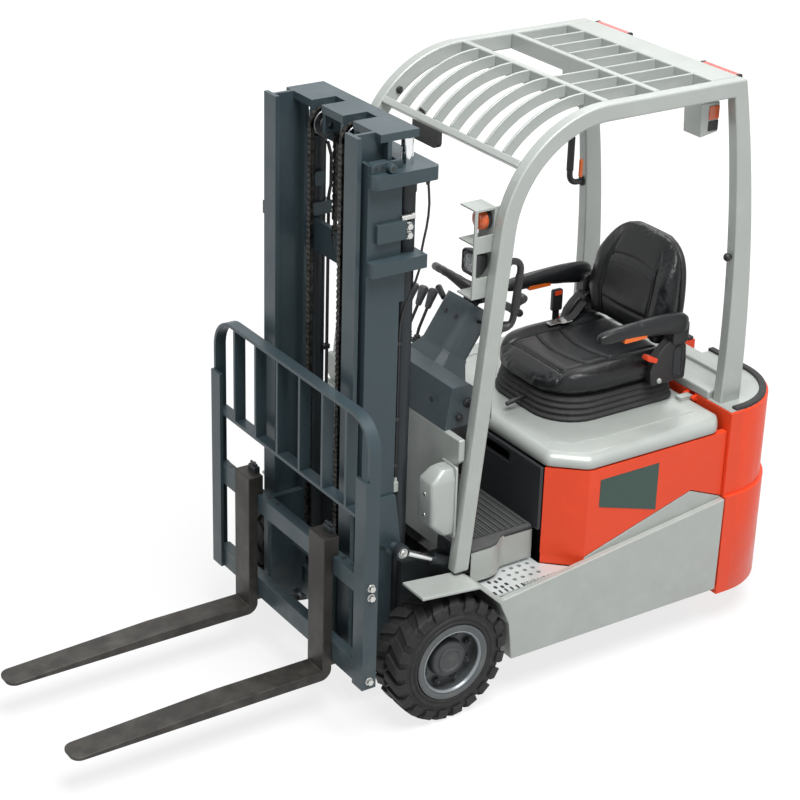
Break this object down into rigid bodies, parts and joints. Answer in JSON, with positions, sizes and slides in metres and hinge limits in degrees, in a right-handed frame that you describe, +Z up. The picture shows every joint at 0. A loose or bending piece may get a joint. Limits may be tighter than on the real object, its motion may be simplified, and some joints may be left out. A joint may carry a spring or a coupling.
{
  "type": "three-wheel electric counterbalance forklift truck",
  "caption": "Compact electric counterbalance forklift with a two-stage mast, tilting forks, an overhead guard, a sprung driver's seat on a lifting hood and steered twin rear wheels.",
  "frame": {"origin": "on the ground under the middle of the truck's bounding box, forks included", "axes": "+X forward along the forks, +Y to the driver's left, +Z up"},
  "size_m": [2.81, 1.074, 2.068],
  "materials": {
    "frame_paint": "satin dark grey paint",
    "silver_paint": "satin silver-grey paint",
    "red_paint": "gloss red paint",
    "mast_paint": "semi-gloss slate paint",
    "fork_steel": "dark worn fork coating",
    "dark_panel": "grained dark plastic",
    "black_plastic": "grained black plastic",
    "dash_plastic": "grained slate plastic",
    "black_rubber": "ribbed rubber",
    "tyre": "solid tyre rubber",
    "rim_paint": "satin slate paint",
    "cast": "painted castings",
    "battery_box": "coated steel tray",
    "vinyl": "black seat vinyl",
    "chrome": "chromed rods",
    "chain_steel": "oiled chain",
    "amber": "amber lens",
    "lens": "clear lamp lens",
    "red_lens": "red lens"
  },
  "bodies": {
    "chassis": {"chassis": "frame_paint", "drive_axle": "cast", "drive_motors": "cast", "battery": "battery_box", "side_panels": "silver_paint", "red_covers": "red_paint", "sweep_trims": "silver_paint", "bay_panel_front": "dark_panel", "counterweight": "red_paint", "tow_plates": "frame_paint", "rear_deck": "silver_paint", "deck_trim": "black_rubber", "steps": "silver_paint", "floor_plate": "frame_paint", "floor_mat": "black_rubber", "front_cowl": "silver_paint", "side_pods": "silver_paint", "dash": "dash_plastic", "levers": "black_plastic", "pedals": "black_rubber", "guard_sides": "silver_paint", "guard_crossbars": "silver_paint", "guard_bars": "silver_paint", "lamp_brackets": "silver_paint", "turn_lamps": "amber", "headlamps": "lens", "rear_lamps": "red_lens", "grab_handles": "black_plastic", "mirror_back": "black_plastic"},
    "steering_wheel": {"steering_wheel": "black_plastic"},
    "hood": {"hood": "silver_paint", "seat_base": "black_plastic", "seat_cushion": "vinyl", "seat_backrest": "vinyl", "armrests": "vinyl", "seat_buckle": "black_plastic"},
    "steer_leg": {"steer_leg": "cast"},
    "rear_wheels": {"rear_rims": "rim_paint", "rear_tyres": "tyre"},
    "wheel_left": {"rim_left": "rim_paint", "tyre_left": "tyre"},
    "wheel_right": {"rim_right": "rim_paint", "tyre_right": "tyre"},
    "mast_outer": {"mast_outer": "mast_paint", "lift_barrels": "frame_paint", "chain_anchors": "chain_steel", "chain_back_runs": "chain_steel"},
    "mast_inner": {"mast_inner": "mast_paint", "lift_rods": "chrome", "sheaves": "chain_steel", "chain_tops": "chain_steel"},
    "carriage": {"carriage": "mast_paint", "carriage_rollers": "chain_steel", "chain_front_runs": "chain_steel", "backrest": "mast_paint", "fork_left": "fork_steel", "fork_right": "fork_steel"},
    "tilt_barrels": {"tilt_barrels": "frame_paint"},
    "tilt_rods": {"tilt_rods": "chrome"}
  },
  "joints": [
    {"name": "wheel_left_spin", "type": "hinge", "parent": "chassis", "child": "wheel_left", "pos_m": [0.115, 0.457, 0.229], "axis": [0, 1, 0], "continuous": true},
    {"name": "wheel_right_spin", "type": "hinge", "parent": "chassis", "child": "wheel_right", "pos_m": [0.115, -0.457, 0.229], "axis": [0, 1, 0], "continuous": true},
    {"name": "rear_steer", "type": "hinge", "parent": "chassis", "child": "steer_leg", "pos_m": [-1.12, 0, 0.42], "axis": [0, 0, 1], "range_deg": [-90, 90]},
    {"name": "rear_wheels_spin", "type": "hinge", "parent": "steer_leg", "child": "rear_wheels", "pos_m": [-1.12, 0, 0.192], "axis": [0, 1, 0], "continuous": true},
    {"name": "mast_tilt", "type": "hinge", "parent": "chassis", "child": "mast_outer", "pos_m": [0.115, 0, 0.229], "axis": [0, 1, 0], "range_deg": [-6, 5]},
    {"name": "mast_lift", "type": "slide", "parent": "mast_outer", "child": "mast_inner", "axis": [0, 0, 1], "range_m": [-0.045, 1.4], "deforming": ["chain_back_runs"]},
    {"name": "carriage_lift", "type": "slide", "parent": "mast_inner", "child": "carriage", "axis": [0, 0, 1], "range_m": [-0.045, 1.4], "deforming": ["chain_front_runs"]},
    {"name": "tilt_cylinder_swing", "type": "hinge", "parent": "chassis", "child": "tilt_barrels", "pos_m": [-0.085, 0, 0.45], "axis": [0, 1, 0], "range_deg": [-4.8, 4]},
    {"name": "tilt_rod_stroke", "type": "slide", "parent": "tilt_barrels", "child": "tilt_rods", "axis": [0.8944, 0, 0.4472], "range_m": [-0.031, 0.026]},
    {"name": "hood_open", "type": "hinge", "parent": "chassis", "child": "hood", "pos_m": [-1.061, 0, 0.847], "axis": [0, -1, 0], "range_deg": [0, 55]},
    {"name": "steering_wheel_turn", "type": "hinge", "parent": "chassis", "child": "steering_wheel", "pos_m": [-0.075, 0.03, 1.01], "axis": [-0.5592, 0, 0.829], "continuous": true}
  ],
  "couplings": [
    {"joint": "carriage_lift", "follows": "mast_lift", "ratio": 1},
    {"joint": "tilt_cylinder_swing", "follows": "mast_tilt", "ratio": 0.769},
    {"joint": "tilt_rod_stroke", "follows": "mast_tilt", "m_per_rad": 0.2871}
  ]
}
